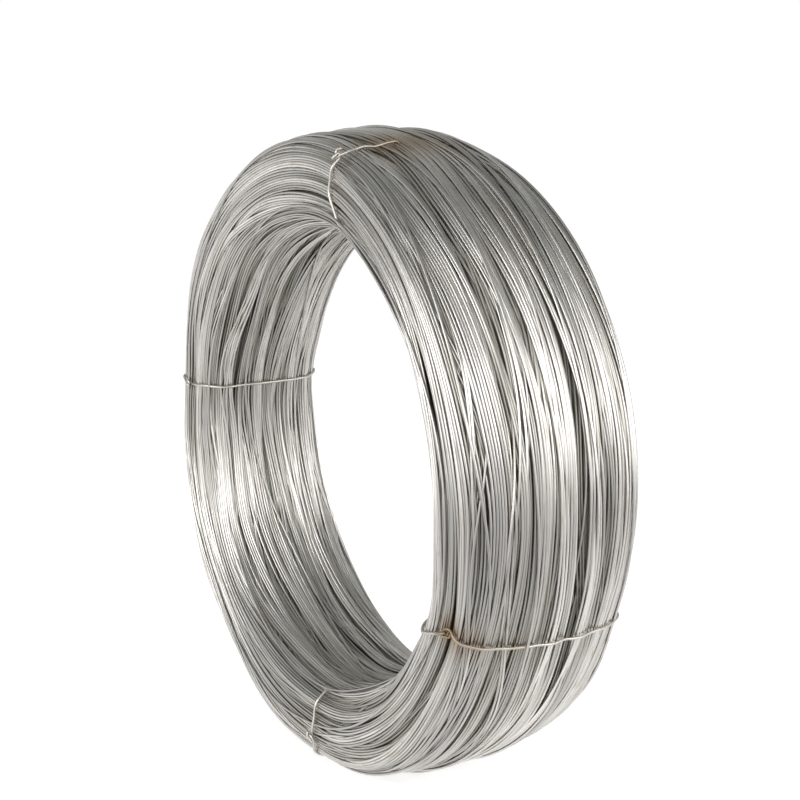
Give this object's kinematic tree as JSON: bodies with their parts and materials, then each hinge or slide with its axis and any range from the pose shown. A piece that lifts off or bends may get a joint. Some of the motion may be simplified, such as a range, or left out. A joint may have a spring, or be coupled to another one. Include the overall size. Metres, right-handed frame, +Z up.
{
  "type": "coil of iron wire",
  "caption": "Coil of bright galvanized iron wire wound in rounded lays round an open bore, tied across its section with short wire ties that end in an eye and a hook.",
  "frame": {"origin": "centre of the bore, halfway along the coil's width", "axes": "+Z up with the coil standing on its rim, Y along the coil's axis with the tie knots on the -Y end, +X to the right when looking along +Y"},
  "size_m": [0.4, 0.1147, 0.4],
  "materials": {
    "coil_wire": "bright galvanized",
    "tie_wire": "bright galvanized, lightly stained at the front knot"
  },
  "bodies": {
    "root": {"wire_coil": "coil_wire", "tie_top": "tie_wire", "tie_back": "tie_wire", "tie_bottom": "tie_wire", "tie_front": "tie_wire"}
  },
  "joints": []
}
